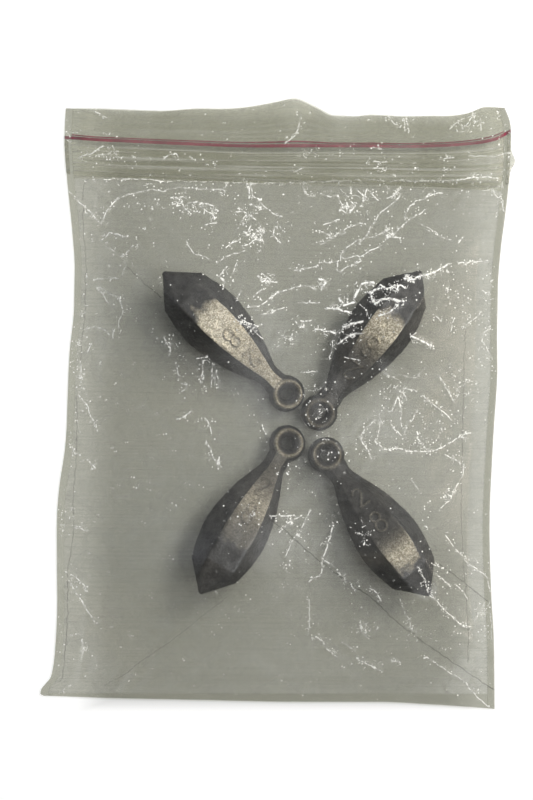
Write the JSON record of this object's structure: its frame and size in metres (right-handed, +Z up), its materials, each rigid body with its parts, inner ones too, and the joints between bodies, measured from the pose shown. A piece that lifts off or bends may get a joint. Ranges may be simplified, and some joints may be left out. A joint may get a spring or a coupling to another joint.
{
  "type": "bag of fishing sinkers",
  "caption": "Six-sided cast bank sinkers with an eye at one end, lying nose outward in a clear grip-seal film bag with a coloured zip line.",
  "frame": {"origin": "centre of the bag's outline, on the surface that the bag lies on", "axes": "+Y along the bag to its mouth, +X to its right seen from above with the mouth up, +Z up out of the surface"},
  "size_m": [0.1024, 0.1356, 0.0119],
  "materials": {
    "film": "clear low-density film, creased",
    "sealed_film": "clear film, welded and crinkled",
    "zip_profile": "clear extruded strip with fine ridges",
    "stripe": "raspberry, extruded in the film",
    "lead": "dull dark grey cast lead with a grainy, sparkling skin"
  },
  "bodies": {
    "bag": {"back_film": "film", "front_film": "film", "left_seal": "sealed_film", "right_seal": "sealed_film", "bottom_fold": "sealed_film", "back_zip": "zip_profile", "back_lip": "film", "back_stripe": "stripe", "left_zip_weld": "sealed_film", "right_zip_weld": "sealed_film"},
    "mouth": {"mouth_film": "film", "front_zip": "zip_profile", "front_lip": "film", "front_stripe": "stripe"},
    "upper_left_sinker": {"upper_left_sinker": "lead"},
    "upper_right_sinker": {"upper_right_sinker": "lead"},
    "lower_left_sinker": {"lower_left_sinker": "lead"},
    "lower_right_sinker": {"lower_right_sinker": "lead"}
  },
  "joints": [
    {"name": "mouth_open", "type": "hinge", "parent": "bag", "child": "mouth", "pos_m": [0, 0.02821, 0.01143], "axis": [1, 0, 0], "range_deg": [0, 40]},
    {"name": "upper_left_shift", "type": "slide", "parent": "bag", "child": "upper_left_sinker", "axis": [-0.7373, 0.6756, 0], "range_m": [0, 0.004]},
    {"name": "upper_right_shift", "type": "slide", "parent": "bag", "child": "upper_right_sinker", "axis": [0.5621, 0.8271, 0], "range_m": [0, 0.004]},
    {"name": "lower_left_shift", "type": "slide", "parent": "bag", "child": "lower_left_sinker", "axis": [-0.506, -0.8625, 0], "range_m": [0, 0.004]},
    {"name": "lower_right_shift", "type": "slide", "parent": "bag", "child": "lower_right_sinker", "axis": [0.6018, -0.7986, 0], "range_m": [0, 0.004]}
  ]
}
